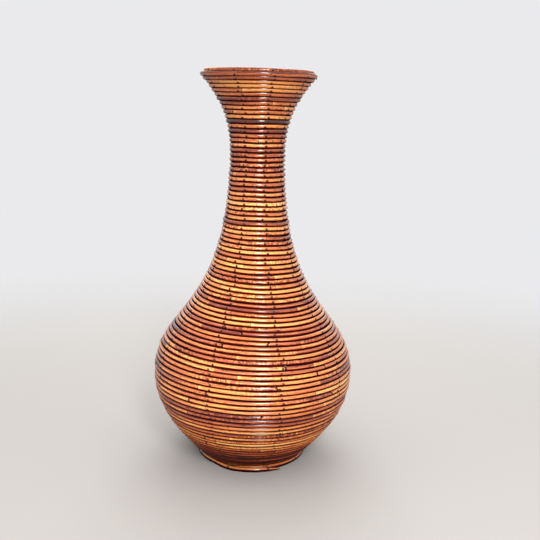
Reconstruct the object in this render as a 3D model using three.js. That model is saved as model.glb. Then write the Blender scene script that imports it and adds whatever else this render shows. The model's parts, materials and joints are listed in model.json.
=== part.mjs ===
// A tall bottle-shaped vase of rattan: courses of pencil cane, each bent into a hoop,
// nailed one above another to upright ribs that stand on a round base board.
// Under the lowest course lies a foot hoop whose outer end laps past its inner end.
// Millimetres, +Z up, origin on the floor under the vase's axis.
import * as THREE from "three";

// Driving dimensions
const VASE_HEIGHT = 475;
const CANE_DIAMETER = 5.7;
const RIM_DIAMETER = 4.4; // the thinner cane inside the lip
const CLEARANCE = 0.3; // between pieces that touch on the real vase
const BAND_COUNT = 23; // solids that the courses above the lowest are shared among

// The wall, measured to the middle of the cane
const WAIST_RADIUS = 66.5; // lowest course, on the foot hoop
const BELLY_RADIUS = 120.7;
const BELLY_HEIGHT = 109.5;
const NECK_RADIUS = 30.8;
const NECK_HEIGHT = 379.5;
const LIP_RADIUS = 67.4;

// How far the wall keeps its direction on leaving each of those places,
// as a share of the rise to the next one
const WAIST_SPREAD = 0.335;
const WAIST_SPREAD_ANGLE = THREE.MathUtils.degToRad(42); // from upright
const BELLY_ROUND_BELOW = 0.466;
const BELLY_ROUND_ABOVE = 0.281;
const NECK_TAPER = 0.739;
const NECK_STRAIGHT = 0.272;
const LIP_FLARE = 0.515;
const LIP_FLARE_ANGLE = THREE.MathUtils.degToRad(43.6); // from upright

// The frame inside the cane
const RIB_COUNT = 9;
const RIB_WIDTH = 8;
const RIB_THICKNESS = 3;
const RIB_PHASE = THREE.MathUtils.degToRad(-24); // first rib, round from the front
const BOARD_THICKNESS = 9;
const BOARD_LIFT = 1; // keeps the board off the floor
const FOOT_INSET = 1.5; // from the lowest course in to the foot hoop

// Each cane is drawn as a hexagon round its circle, and each ring has two flats to a rib,
// so that every rib lies against the middle of a flat.
const CANE_RADIUS = CANE_DIAMETER / 2;
const CORNER_SHARE = 1 / Math.cos(Math.PI / 6); // a hexagon's corner over the circle in it
const HEXAGON_CORNER = CANE_RADIUS * CORNER_SHARE;
const HEXAGON_HALF_FLAT = CANE_RADIUS * Math.tan(Math.PI / 6);
const CANE_VALLEY = CANE_RADIUS * (2 - Math.sqrt(3)); // where neighbouring hexagons meet
const RING_SIDES = 2 * RIB_COUNT;
const RING_START = RIB_PHASE - Math.PI / RING_SIDES;
const FLAT_SHARE = Math.cos(Math.PI / RING_SIDES); // a flat's distance over a corner's

// The foot hoop turns once round and then on past its own start: over the last sides of
// the turn it swings out beside itself, and the lapped end runs on for a few sides more.
const FOOT_RADIUS = WAIST_RADIUS - FOOT_INSET;
const LAP_STEP = 2 * HEXAGON_CORNER + CLEARANCE;
const LAP_SIDES = 3;
const SWING_SIDES = 2;

// The lowest course stands on the foot hoop, and the rim hoop lies inside the top one.
const WAIST_HEIGHT = CANE_DIAMETER + CLEARANCE + HEXAGON_CORNER;
const RIM_CORNER = (RIM_DIAMETER / 2) * CORNER_SHARE;
const RIM_INSET = CANE_RADIUS + CLEARANCE + RIM_CORNER;
const LIP_HEIGHT = VASE_HEIGHT - RIM_DIAMETER / 2 - RIM_INSET * Math.sin(LIP_FLARE_ANGLE);

// The wall's line from waist to lip, as radius and height
function wallLine() {
  const bowl = BELLY_HEIGHT - WAIST_HEIGHT;
  const shoulder = NECK_HEIGHT - BELLY_HEIGHT;
  const flare = LIP_HEIGHT - NECK_HEIGHT;
  const waistOut = bowl * WAIST_SPREAD * Math.sin(WAIST_SPREAD_ANGLE);
  const waistUp = bowl * WAIST_SPREAD * Math.cos(WAIST_SPREAD_ANGLE);
  const lipOut = flare * LIP_FLARE * Math.sin(LIP_FLARE_ANGLE);
  const lipUp = flare * LIP_FLARE * Math.cos(LIP_FLARE_ANGLE);
  const line = new THREE.Path();
  line.moveTo(WAIST_RADIUS, WAIST_HEIGHT);
  line.bezierCurveTo(
    WAIST_RADIUS + waistOut, WAIST_HEIGHT + waistUp,
    BELLY_RADIUS, BELLY_HEIGHT - bowl * BELLY_ROUND_BELOW,
    BELLY_RADIUS, BELLY_HEIGHT,
  );
  line.bezierCurveTo(
    BELLY_RADIUS, BELLY_HEIGHT + shoulder * BELLY_ROUND_ABOVE,
    NECK_RADIUS, NECK_HEIGHT - shoulder * NECK_TAPER,
    NECK_RADIUS, NECK_HEIGHT,
  );
  line.bezierCurveTo(
    NECK_RADIUS, NECK_HEIGHT + flare * NECK_STRAIGHT,
    LIP_RADIUS - lipOut, LIP_HEIGHT - lipUp,
    LIP_RADIUS, LIP_HEIGHT,
  );
  return line;
}

const wall = wallLine();
const WALL_LENGTH = wall.getLength();
const COURSES = Math.round(WALL_LENGTH / CANE_DIAMETER) + 1;
const COURSE_STEP = WALL_LENGTH / (COURSES - 1);

// A point by its distance up the wall from the waist, moved out square to the wall.
// Past either end the wall runs on straight.
function wallPoint(distance, outward) {
  const along = THREE.MathUtils.clamp(distance, 0, WALL_LENGTH);
  const point = wall.getPoint(along / WALL_LENGTH);
  const up = wall.getTangent(along / WALL_LENGTH);
  point.addScaledVector(up, distance - along);
  return point.add(new THREE.Vector2(up.y, -up.x).multiplyScalar(outward));
}

// A closed outline of radius and height, turned about the vase's axis
function revolve(outline) {
  const ring = new THREE.LatheGeometry([...outline, outline[0]], RING_SIDES, RING_START);
  return ring.rotateX(Math.PI / 2);
}

// A run of neighbouring courses, round outside and lying against the ribs inside
function bandOutline(first, last) {
  const bottom = first * COURSE_STEP - COURSE_STEP / 2 + CLEARANCE / 2;
  const top = last * COURSE_STEP + COURSE_STEP / 2 - CLEARANCE / 2;
  const outline = [wallPoint(bottom, -CANE_RADIUS), wallPoint(bottom, CANE_VALLEY)];
  for (let course = first; course <= last; course++) {
    const middle = course * COURSE_STEP;
    outline.push(wallPoint(middle - HEXAGON_HALF_FLAT, CANE_RADIUS));
    outline.push(wallPoint(middle + HEXAGON_HALF_FLAT, CANE_RADIUS));
    const valley = course === last ? top : middle + COURSE_STEP / 2;
    outline.push(wallPoint(valley, CANE_VALLEY));
  }
  outline.push(wallPoint(top, -CANE_RADIUS));
  return outline;
}

// One cane cut across, flat above and below, about a middle of radius and height
function hoopOutline(radius, height, diameter) {
  const reach = (diameter / 2) * CORNER_SHARE;
  const outline = [];
  for (let corner = 0; corner < 6; corner++) {
    const turn = (corner * Math.PI) / 3;
    const out = reach * Math.cos(turn);
    const up = reach * Math.sin(turn);
    outline.push(new THREE.Vector2(radius + out, height + up));
  }
  return outline;
}

// The foot hoop: one cane laid on the floor, closed at both ends
function footHoop() {
  const steps = RING_SIDES + LAP_SIDES;
  const places = [];
  const faces = [];
  for (let step = 0; step <= steps; step++) {
    const turn = RING_START + (step * 2 * Math.PI) / RING_SIDES;
    const swing = (step - RING_SIDES + SWING_SIDES) / SWING_SIDES;
    const radius = FOOT_RADIUS + LAP_STEP * THREE.MathUtils.clamp(swing, 0, 1);
    const section = hoopOutline(radius, CANE_RADIUS, CANE_DIAMETER);
    for (const [corner, { x, y }] of section.entries()) {
      places.push(x * Math.sin(turn), -x * Math.cos(turn), y);
      if (step === steps) continue;
      const here = step * 6 + corner;
      const next = step * 6 + ((corner + 1) % 6);
      faces.push(here, here + 6, next, here + 6, next + 6, next);
    }
  }
  const last = steps * 6;
  for (let corner = 1; corner < 5; corner++) {
    faces.push(0, corner, corner + 1);
    faces.push(last, last + corner + 1, last + corner);
  }
  const cane = new THREE.BufferGeometry();
  cane.setAttribute("position", new THREE.Float32BufferAttribute(places, 3));
  cane.setIndex(faces);
  cane.computeVertexNormals();
  return cane;
}

// The first course of a band: those above the lowest course, shared out as evenly as they go
function firstCourse(band) {
  return 1 + Math.ceil((band * (COURSES - 1)) / BAND_COUNT);
}

// Where one band ends and the next begins, as distances up the wall
function bandJoints() {
  const joints = [];
  for (let band = 0; band < BAND_COUNT; band++) {
    joints.push((firstCourse(band) - 0.5) * COURSE_STEP);
  }
  return joints;
}

const BOARD_TOP = BOARD_LIFT + BOARD_THICKNESS;
const BOARD_RADIUS = FOOT_RADIUS - HEXAGON_CORNER - CLEARANCE;

// The board that closes the bottom, inside the foot hoop
function baseBoard() {
  return revolve([
    new THREE.Vector2(0, BOARD_LIFT),
    new THREE.Vector2(BOARD_RADIUS, BOARD_LIFT),
    new THREE.Vector2(BOARD_RADIUS, BOARD_TOP),
    new THREE.Vector2(0, BOARD_TOP),
  ]);
}

// Where a line beside the wall comes down to the board, as a distance up the wall
function footing(outward) {
  const drop = WAIST_HEIGHT - outward * Math.sin(WAIST_SPREAD_ANGLE) - BOARD_TOP - CLEARANCE;
  return -drop / Math.cos(WAIST_SPREAD_ANGLE);
}

// One rib from the side: from the board up the inside of the wall to the rim hoop
function ribOutline() {
  const face = -CANE_RADIUS - CLEARANCE;
  const back = face - RIB_THICKNESS;
  const end = WALL_LENGTH - RIM_CORNER - CLEARANCE;
  const stops = bandJoints().filter((joint) => joint < end);
  stops.push(end);

  const outside = [footing(face), ...stops].map((stop) => wallPoint(stop, face));
  const inside = [footing(back), ...stops].map((stop) => wallPoint(stop, back));
  return [...outside, ...inside.reverse()];
}

function rib() {
  const onFlat = ribOutline().map((p) => new THREE.Vector2(p.x * FLAT_SHARE, p.y));
  const blade = new THREE.ExtrudeGeometry(new THREE.Shape(onFlat), {
    depth: RIB_WIDTH,
    bevelEnabled: false,
  });
  return blade.translate(0, 0, -RIB_WIDTH / 2).rotateX(Math.PI / 2);
}

// Finishes: stained and lacquered cane from dark to straw, plain split ribs, plywood
const FINISHES = {
  walnut: { color: 0x5a3323, roughness: 0.35 },
  russet: { color: 0x8f4f2b, roughness: 0.35 },
  amber: { color: 0xb06a33, roughness: 0.35 },
  honey: { color: 0xc98f47, roughness: 0.38 },
  rib_cane: { color: 0xb58a58, roughness: 0.7 },
  plywood: { color: 0x9c7448, roughness: 0.8 },
};
const materials = {};
for (const [name, look] of Object.entries(FINISHES)) {
  materials[name] = new THREE.MeshStandardMaterial({ name, metalness: 0, ...look });
}

// The stain of each band, from the foot up
const BAND_STAINS = [
  "walnut", "russet", "amber", "amber", "russet", "honey", "amber", "amber",
  "russet", "amber", "russet", "honey", "honey", "russet", "amber", "honey",
  "amber", "russet", "russet", "walnut", "amber", "russet", "amber",
];

const vase = new THREE.Group();
vase.name = "rattan_vase";

function addPiece(name, geometry, finish) {
  const piece = new THREE.Mesh(geometry, materials[finish]);
  piece.name = name;
  vase.add(piece);
  return piece;
}

const twoDigits = (number) => String(number).padStart(2, "0");

addPiece("base_board", baseBoard(), "plywood");

addPiece("foot_hoop_1", footHoop(), "russet");
addPiece("foot_hoop_2", revolve(bandOutline(0, 0)), "russet");

for (let band = 0; band < BAND_COUNT; band++) {
  const outline = bandOutline(firstCourse(band), firstCourse(band + 1) - 1);
  const stain = BAND_STAINS[band % BAND_STAINS.length];
  addPiece(`cane_band_${twoDigits(band + 1)}`, revolve(outline), stain);
}

const rim = wallPoint(WALL_LENGTH, -RIM_INSET);
addPiece("rim_hoop", revolve(hoopOutline(rim.x, rim.y, RIM_DIAMETER)), "amber");

for (let count = 0; count < RIB_COUNT; count++) {
  const piece = addPiece(`rib_${count + 1}`, rib(), "rib_cane");
  piece.rotation.z = RIB_PHASE + (count * 2 * Math.PI) / RIB_COUNT - Math.PI / 2;
}

export default vase;
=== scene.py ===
# %% [markdown]
# # A rattan vase, hoop by hoop
# The vase is ninety hoops of lacquered pencil cane, stacked and nailed to upright ribs that stand on
# a round board. The solids that come with this lesson hold its sizes. Each of them is measured here,
# and a finer piece of the same size, in the same place, is built to be seen instead.
# Lengths are in metres. Angles round the vase start at the front (-Y) and grow towards +X.

# %% Load the solids
import json
import math
from collections import namedtuple

import bmesh
import bpy
import numpy as np
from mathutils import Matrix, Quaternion, Vector


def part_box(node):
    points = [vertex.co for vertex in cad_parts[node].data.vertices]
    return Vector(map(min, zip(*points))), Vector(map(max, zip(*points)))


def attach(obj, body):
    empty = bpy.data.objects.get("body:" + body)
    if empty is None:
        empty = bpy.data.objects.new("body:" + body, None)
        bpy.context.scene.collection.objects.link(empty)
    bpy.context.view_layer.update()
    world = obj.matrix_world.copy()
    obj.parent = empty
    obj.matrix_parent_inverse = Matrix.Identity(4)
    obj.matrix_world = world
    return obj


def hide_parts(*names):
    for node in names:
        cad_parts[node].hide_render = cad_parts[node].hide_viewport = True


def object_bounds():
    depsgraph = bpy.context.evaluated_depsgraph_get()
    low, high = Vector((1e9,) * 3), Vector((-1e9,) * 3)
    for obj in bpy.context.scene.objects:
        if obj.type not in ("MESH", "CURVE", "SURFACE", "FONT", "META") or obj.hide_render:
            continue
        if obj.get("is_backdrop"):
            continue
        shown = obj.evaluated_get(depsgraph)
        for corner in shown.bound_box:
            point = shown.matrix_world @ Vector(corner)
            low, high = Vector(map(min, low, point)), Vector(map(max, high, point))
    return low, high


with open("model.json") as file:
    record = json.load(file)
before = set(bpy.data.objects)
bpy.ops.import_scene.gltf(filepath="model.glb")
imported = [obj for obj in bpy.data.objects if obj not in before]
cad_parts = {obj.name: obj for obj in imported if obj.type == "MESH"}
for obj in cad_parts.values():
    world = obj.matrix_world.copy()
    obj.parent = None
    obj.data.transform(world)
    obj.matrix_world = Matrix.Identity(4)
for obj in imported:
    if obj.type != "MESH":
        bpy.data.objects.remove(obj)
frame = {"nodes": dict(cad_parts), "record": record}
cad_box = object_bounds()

slot_of = {row["node"]: row["material_slot"] for row in frame["record"]["subparts"]}
print(f"{len(frame['nodes'])} solids, {cad_box[1].z - cad_box[0].z:.3f} m tall")

# %% [markdown]
# ## Reading a band
# The solids join the hoops into bands, three or four to a band, so the single courses have to be found
# again. Copying ninety heights by hand would go stale as soon as a size changed. Instead, one side of a
# band is read as an outline: its two innermost corners are the flat inner face, and the rest, going up,
# repeat as valley, crown, crown. The middle of a cane lies one cane radius in from its two crowns.

# %% Read the outline of a band
SAME_CORNER = 1e-4  # corners closer than this are one corner
MILLIMETRES = 1000  # to a metre

low_corner, high_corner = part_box("foot_hoop_1")
CANE_RADIUS = (high_corner.z - low_corner.z) / 2


def corners_of(node):
    """All corners of a solid, one to a row."""
    return np.array([corner.co for corner in frame["nodes"][node].data.vertices])


def ring_outline(node):
    """Radius and height of each corner along one side of a turned solid."""
    corners = corners_of(node)
    turn = np.arctan2(corners[:, 0], -corners[:, 1])
    side = corners[np.abs(turn - turn[0]) < SAME_CORNER / np.hypot(*corners[0, :2])]
    outline = []
    for radius, height in np.column_stack([np.hypot(side[:, 0], side[:, 1]), side[:, 2]]):
        if all(math.hypot(radius - r, height - z) > SAME_CORNER for r, z in outline):
            outline.append((radius, height))
    return np.array(outline)


def wall_direction(outline):
    """The way up the wall, as radius and height: the long direction of a band's outline."""
    up = np.linalg.svd(outline - outline.mean(axis=0))[2][0]
    return up * np.sign(up[1])


def band_courses(node, up):
    """Middle of each course in a band, with the angle that it faces above level."""
    outline = ring_outline(node)
    outer = outline[np.argsort(outline @ np.array([up[1], -up[0]]))[2:]]
    outer = outer[np.argsort(outer @ up)]
    for low, high in zip(outer[1::3], outer[2::3]):
        along = (high - low) / np.linalg.norm(high - low)
        square = np.array([along[1], -along[0]])
        yield (low + high) / 2 - square * CANE_RADIUS, math.atan2(square[1], square[0])


print(f"cane {2 * CANE_RADIUS * MILLIMETRES:.2f} mm thick")

# %% [markdown]
# ## All the courses
# The list runs from the floor to the rim, and a course knows which solid it belongs to. Three of them
# are in no band: the foot hoop, which lies on the floor and shows its upper side, the lowest course of
# the wall, and the rim hoop, which is of thinner cane. These are measured on their own solids.

# %% List the courses
HEXAGON = math.cos(math.pi / 6)  # a solid cane's flat over its corner
# the tilts turn a hoop's section, and with it where its painted groove shade falls
FOOT_TILT = math.radians(46)
RIM_TILT = math.radians(-12)

Course = namedtuple("Course", "node number radius height tilt girth")
courses = []
band_names = sorted(name for name in frame["nodes"] if name.startswith("cane_band"))


def add_course(node, middle, tilt, girth):
    """Put one more course on top of the list."""
    courses.append(Course(node, len(courses), middle[0], middle[1], tilt, girth))


foot_radius = np.hypot(*corners_of("foot_hoop_1").T[:2]).min() + CANE_RADIUS / HEXAGON
add_course("foot_hoop_1", (foot_radius, CANE_RADIUS), FOOT_TILT, CANE_RADIUS)
for middle, tilt in band_courses("foot_hoop_2", wall_direction(ring_outline(band_names[0]))):
    add_course("foot_hoop_2", middle, tilt, CANE_RADIUS)
for band in band_names:
    for middle, tilt in band_courses(band, wall_direction(ring_outline(band))):
        add_course(band, middle, tilt, CANE_RADIUS)
low_corner, high_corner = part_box("rim_hoop")
rim_middle = ring_outline("rim_hoop").mean(axis=0)
add_course("rim_hoop", rim_middle, RIM_TILT, (high_corner.z - low_corner.z) / 2)
print(len(courses), "courses in", len(band_names), "bands and 3 single hoops")

# %% [markdown]
# ## Laid by hand
# Perfect circles would look turned on a lathe. On the real vase the courses lean across the shoulder,
# lower on the right, the mouth nods forward, and each course wanders by a fraction of a millimetre.
# The outline stays round all the same, so a course that climbs also takes the wall's radius up there.

# %% How far a course strays from level
Lean = namedtuple("Lean", "slope towards height reach")
LEANS = (
    Lean(0.040, math.radians(90), 0.235, 0.100),  # the shoulder, lower on the right
    Lean(0.014, math.radians(0), 0.180, 0.050),  # the top of the belly, lower at the front
    Lean(0.045, math.radians(0), 0.480, 0.075),  # the mouth, lower at the front
)
WAVES = {2: 0.00035, 3: 0.00025, 5: 0.00015}  # waves in one turn, and how high they are
WAVE_DRIFT = 9.0  # how fast the waves turn with height, in radians a metre
CALM_HEIGHT = 0.05  # below this, leans and waves die out towards the floor

wall_line = np.array([(c.height, c.radius) for c in courses[1:-1]])


def rise(course, turn):
    """How far a course lies above its level place, at an angle round the vase."""
    total = np.zeros_like(turn)
    for lean in LEANS:
        slope = lean.slope * math.exp(-(((course.height - lean.height) / lean.reach) ** 2))
        total = total - slope * course.radius * np.cos(turn - lean.towards)
    for count, size in WAVES.items():
        total = total + size * np.sin(count * (turn + WAVE_DRIFT * course.height))
    return total * min(1.0, course.height / CALM_HEIGHT)


def middle_line(course, turn):
    """Radius and height of a course's middle, at an angle round the vase."""
    height = course.height + rise(course, turn)
    along_wall = np.interp(height, *wall_line.T) - np.interp(course.height, *wall_line.T)
    return course.radius + along_wall, height


right_side = np.array([math.pi / 2])
drops = [round(-MILLIMETRES * rise(course, right_side)[0], 1) for course in courses[::15]]
print("drop at the right of every fifteenth course, mm:", drops)

# %% [markdown]
# ## Where the brads go
# A brad holds every course to every rib, so the heads stand in columns. The ribs are read from the
# frame, and each brad misses its rib's middle by a little, as hammered nails do. All chance in this
# lesson comes from one seeded set of dice, so every run is alike.

# %% Read the ribs and place the brads
DICE_SEED = 94
BRAD_SCATTER = 0.0016  # how far brads miss the middle of a rib

dice = np.random.default_rng(DICE_SEED)
rib_names = sorted(name for name in frame["nodes"] if name.startswith("rib_"))


def turn_of(node):
    """Angle round the vase at which a solid stands."""
    middle = corners_of(node).mean(axis=0)
    return math.atan2(middle[0], -middle[1])


rib_turns = np.array([turn_of(name) for name in rib_names])
brad_turns = [rib_turns + dice.normal(0, BRAD_SCATTER, len(rib_turns)) / c.radius for c in courses]
print("ribs at", rib_turns.round(2), "radians")

# %% [markdown]
# ## Tones up the wall
# The stain isn't even, and some courses stand out all the way up. Near the floor the tones also hold
# painted light: the lowest courses are darkened as painted shade under the belly, and those just above
# are brightened as painted light from below. A tone is a step along the stain, up for paler and down
# for darker. Chance alone wouldn't give the pattern of the real vase, so these tones are set by height.

# %% Set the tones by height
# the two lowest tones are painted shade under the belly, and the next two painted light from below
WALL_TONES = (
    (0.0, 0.022, 0.032, 0.045, 0.070, 0.140, 0.200, 0.215, 0.320, 0.340, 0.430, 0.450, 0.465),
    (-0.40, -0.28, 0.12, 0.20, 0.07, -0.05, 0.04, 0.06, 0.04, 0.04, 0.10, 0.15, 0.11),
)  # heights, and the tone at each
SMOKED, DARK, DULL, PLAIN = -0.25, -0.15, -0.10, 0.0
AMBER, PALE, STRAW = 0.09, 0.12, 0.20
Belt = namedtuple("Belt", "low high tone")
BELTS = (
    Belt(0.074, 0.091, DULL), Belt(0.200, 0.207, DARK), Belt(0.209, 0.217, STRAW),
    Belt(0.251, 0.254, PALE), Belt(0.312, 0.320, PALE), Belt(0.357, 0.366, DULL),
    Belt(0.375, 0.383, DULL), Belt(0.403, 0.405, DARK), Belt(0.414, 0.417, SMOKED),
    Belt(0.420, 0.427, PALE), Belt(0.440, 0.443, SMOKED), Belt(0.463, 0.466, DULL),
    Belt(0.467, 0.471, AMBER), Belt(0.472, 0.475, PLAIN),
)  # the courses that stand out


def belt_tone(course):
    """The tone of a course that stands out, or None for any other."""
    return next((belt.tone for belt in BELTS if belt.low < course.height < belt.high), None)


print(sum(belt_tone(course) is not None for course in courses), "courses stand out")

# %% [markdown]
# ## One length of cane
# Every 11 to 23 cm a cane has a node, the ring where a leaf grew, and the colour often changes there.
# Girth and stain differ from cane to cane as well. All of that could be drawn while a cane is modelled,
# but drawing it first keeps the chance in one place and the modelling plain.

# %% Cut one cane
NODE_SPACING = (0.11, 0.23)
MOST_NODES = 8
NODE_ROOM = 0.008  # no node this close to a cut
TONE_STEP = 0.11  # between the stretches of one cane
COLLARS = (0.0, 0.05, 0.15, 0.28)  # how much paler the cane is beside a node
GIRTHS = (0.97, 1.03)  # shares of the even girth
OFFSET_SPREAD = 0.00025  # how far canes lie in or out of line
NOISE_SEEDS = (0, 90)

Cane = namedtuple("Cane", "start length girth offset nodes collars slants tones mottle seed pared")


def cut_cane(start, length, slants, tone, mottle, pared=False):
    """One length of cane, with its own chance marks."""
    nodes = np.cumsum(dice.uniform(*NODE_SPACING, MOST_NODES)) - dice.uniform(*NODE_SPACING)
    nodes = nodes[(nodes > NODE_ROOM) & (nodes < length - NODE_ROOM)]
    collars = dice.choice(COLLARS, len(nodes))
    tones = tone + dice.normal(0, TONE_STEP, len(nodes) + 1)
    girth = dice.uniform(*GIRTHS)
    offset = dice.normal(0, OFFSET_SPREAD)
    seed = dice.uniform(*NOISE_SEEDS)
    return Cane(start, length, girth, offset, nodes, collars, slants, tones, mottle, seed, pared)


print("a cane has", ", ".join(Cane._fields))

# %% [markdown]
# ## Cutting a course
# Cane comes in lengths, so a long course is two or more pieces, butted or cut on a slant. A course of
# one piece has its joint at the back, where a maker would put it.

# %% Cut each course into lengths
FULL_TURN = 2 * math.pi
CANE_LENGTH = 0.42
COUNT_SPREAD = (-0.4, 0.4)  # added to the number of lengths that would fit
LENGTH_SPREAD = (0.7, 1.3)  # shares of an even length
ANYWHERE, AT_THE_BACK = (0, 1), (0.35, 0.65)  # where the first joint is, as a share of a turn
JOINT_GAP = 0.0008
JOINT_SLANTS = (0.0, 0.0, 0.0, 0.15, -0.15, 0.9, -0.9)  # how far a cut runs along, for its width
TONE_SPREAD = 0.035  # between courses
MOTTLE = (0.0, 0.0, 0.0, 0.5, 1.0)  # most canes have none


def cut_course(course):
    """The lengths of cane that go round one course."""
    way_round = FULL_TURN * course.radius
    count = max(1, round(way_round / CANE_LENGTH + dice.uniform(*COUNT_SPREAD)))
    shares = dice.uniform(*LENGTH_SPREAD, count)
    lengths = way_round * shares / shares.sum()
    cuts = dice.choice(JOINT_SLANTS, count)
    tone = dice.normal(0, TONE_SPREAD) + np.interp(course.height, *WALL_TONES)
    begin = way_round * dice.uniform(*(ANYWHERE if count > 1 else AT_THE_BACK))
    stands_out = belt_tone(course)
    if stands_out is not None:
        tone = stands_out
    least_mottle = 1.0 if stands_out in (PALE, STRAW) else 0.0
    for index, length in enumerate(lengths):
        slants = (cuts[index - 1], cuts[index])
        mottle = max(dice.choice(MOTTLE), least_mottle)
        yield cut_cane(begin / course.radius, length - JOINT_GAP, slants, tone, mottle)
        begin += length


canes = [list(cut_course(course)) for course in courses]
print(sum(len(lengths) for lengths in canes), "lengths of cane cut")

# %% [markdown]
# ## The foot hoop
# The lowest hoop is one longer cane. It goes once round, then its outer end swings out past its own
# start and lies beside it for a hand's breadth. Both ends are pared thin. It is cut like any other cane
# and only bent further, so it needs no modelling of its own.

# %% Cut the foot hoop
FOOT_TONE = 0.03
SQUARE_ENDS = (0.0, 0.0)
LAP_START = math.radians(-26)
LAP = math.radians(56)
SWING = math.radians(32)  # the cane moves out over this much of a turn
LATE = math.radians(12)  # and is clear this far past its pared start

foot = courses[0]
foot_length = foot.radius * (FULL_TURN + LAP)
canes[foot.number] = [cut_cane(LAP_START, foot_length, SQUARE_ENDS, FOOT_TONE, 0.0, pared=True)]


def lap_swing(cane, turn):
    """How far a pared cane has swung out beside itself, at an angle counted on from its start."""
    share = ((turn - cane.start - LATE - FULL_TURN) / SWING + 1).clip(0, 1) * cane.pared
    return 2 * CANE_RADIUS * share * share * (3 - 2 * share)


print(f"the foot hoop takes {foot_length:.3f} m of cane")

# %% [markdown]
# ## Sections along a cane
# A curve with a bevel would give a round tube quickly, but it can't swell at a node, round off at a
# cut or carry marks for the stain. So the tube is built section by section, and the sections stand
# closer together where the shape changes, at nodes and cuts.

# %% Choose where the sections stand
STATION_STEP = 0.006
STATION_GAP = 0.0002  # sections closer than this become one
NODE_STATIONS = np.array([-7, -4, -2.2, -1.1, -0.5, 0, 0.5, 1.1, 2.2, 4, 7]) / MILLIMETRES
END_STATIONS = np.array([0, 0.25, 0.6, 1.5, 3, 6, 10]) / MILLIMETRES
OUT_OF_REACH = 1.0  # stands in for the nearest mark where a cane has none


def stations(cane):
    """Distances along a cane where a section is drawn."""
    even = np.linspace(0, cane.length, 2 + int(cane.length / STATION_STEP))
    by_nodes = np.add.outer(cane.nodes, NODE_STATIONS).ravel()
    by_ends = np.concatenate([END_STATIONS, cane.length - END_STATIONS])
    spots = np.unique(np.concatenate([even, by_nodes, by_ends]).clip(0, cane.length))
    keep = np.append(np.diff(spots) > STATION_GAP, True)
    return spots[keep]


def nearest(spots, marks):
    """The closest mark to each spot, and the signed distance from it."""
    apart = spots[:, None] - np.append(marks, OUT_OF_REACH + spots.max())
    which = np.abs(apart).argmin(axis=1)
    return which, apart[np.arange(len(spots)), which]


print(sum(len(stations(cane)) for lengths in canes for cane in lengths), "sections in all")

# %% [markdown]
# ## How thick a cane is
# No cane is even. It has long, low lumps, it swells at a node with a fine groove round the swelling,
# and it is rounded off at a cut. Each of these is a share that the girth is multiplied by.

# %% Work out the girth
LUMPS = {41.0: 0.008, 97.0: 0.005}  # radians a metre, and how high
NODE_SWELL, NODE_REACH = 0.05, 0.0032
NODE_GROOVE, NODE_LINE = 0.05, 0.0005
END_ROUND = ((0, 0.00035, 0.0009), (0.74, 0.93, 1.0))  # distance from a cut end, and share of girth
END_PARED = ((0, 0.004, 0.02), (0.22, 0.5, 1.0))


def cane_girth(course, cane, spots, node_gap, end_gap):
    """Radius of the cane at each station."""
    size = np.full(len(spots), course.girth * cane.girth)
    for waves, high in LUMPS.items():
        size *= 1 + high * np.sin(waves * spots + cane.seed)
    size *= 1 + NODE_SWELL * np.exp(-((node_gap / NODE_REACH) ** 2))
    size *= 1 - NODE_GROOVE * np.exp(-((node_gap / NODE_LINE) ** 2))
    return size * np.interp(end_gap, *(END_PARED if cane.pared else END_ROUND))


girths = [course.girth * cane.girth for course in courses for cane in canes[course.number]]
print(f"canes are {2 * MILLIMETRES * min(girths):.2f} to {2 * MILLIMETRES * max(girths):.2f} mm thick")

# %% [markdown]
# ## Bending one cane
# The sections are bent into their course. A slanted cut leans the last sections along the cane, more
# the nearer they are to it. NumPy works out every section of a cane at once, which is far quicker
# than placing points one by one.

# %% Bend a cane
SECTION_SIDES = 14
SLANT_REACH = 0.008  # a slanted cut leans the sections within this distance
WANDER = {23.0: 0.00018, 61.0: 0.00010}  # how far one cane strays up and down its wall

round_section = np.linspace(-math.pi, math.pi, SECTION_SIDES, endpoint=False)


def bent_points(course, cane, spots, size):
    """Points round each section of a cane of the given girth, bent into its course."""
    turn = cane.start + spots / course.radius
    slant = cane.slants[0] * np.clip(1 - spots / SLANT_REACH, 0, 1)
    slant = slant + cane.slants[1] * np.clip(1 - (cane.length - spots) / SLANT_REACH, 0, 1)
    angle = turn[:, None] + size * np.sin(round_section) * slant[:, None] / course.radius
    radius, height = middle_line(course, turn)
    radius = (radius + cane.offset + lap_swing(cane, turn))[:, None]
    stray = sum(high * np.sin(waves * spots + 2 * cane.seed) for waves, high in WANDER.items())
    height = size if cane.pared else (height + stray)[:, None]
    reach = radius + size * np.cos(round_section + course.tilt)
    up = height + size * np.sin(round_section + course.tilt)
    return np.stack([reach * np.sin(angle), -reach * np.cos(angle), up], axis=-1)


print("a section has", len(round_section), "points")

# %% [markdown]
# ## What the stain has to know
# Three vectors go along with each point: its place on the cane, the look of its stretch, and how far
# the marks are. A painted map could hold the same, but these follow every change of size by themselves.

# %% Store the marks with the points
COLLAR_REACH = 0.006
OPEN_TOPS = {1: 0.3, 2: 0.7}  # counted from the top: little lies above these, so less of the grooves' stain and painted shade reaches their upper side


def stain_vectors(course, cane, spots, node, gaps):
    """Place, look and marks at each point. The gaps are those to nodes, cut ends and brads."""
    flat = np.ones((len(spots), SECTION_SIDES))
    side = np.sin(round_section).clip(max=OPEN_TOPS.get(len(courses) - course.number, 1.0))
    tone = cane.tones[np.searchsorted(cane.nodes, spots)]
    node_gap = gaps[0]
    beside = np.clip(1 - node_gap / COLLAR_REACH, 0, 1) * (node_gap > 0)
    tone = tone + beside * np.append(cane.collars, 0)[node]
    vectors = {
        "cane_place": (spots[:, None] * flat, np.cos(round_section) * flat, side * flat),
        "cane_look": (tone[:, None] * flat, cane.mottle * flat, cane.seed * flat),
        "cane_marks": tuple(MILLIMETRES * gap[:, None] * flat for gap in gaps),
    }
    return {name: np.stack(value, axis=-1) for name, value in vectors.items()}


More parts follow.
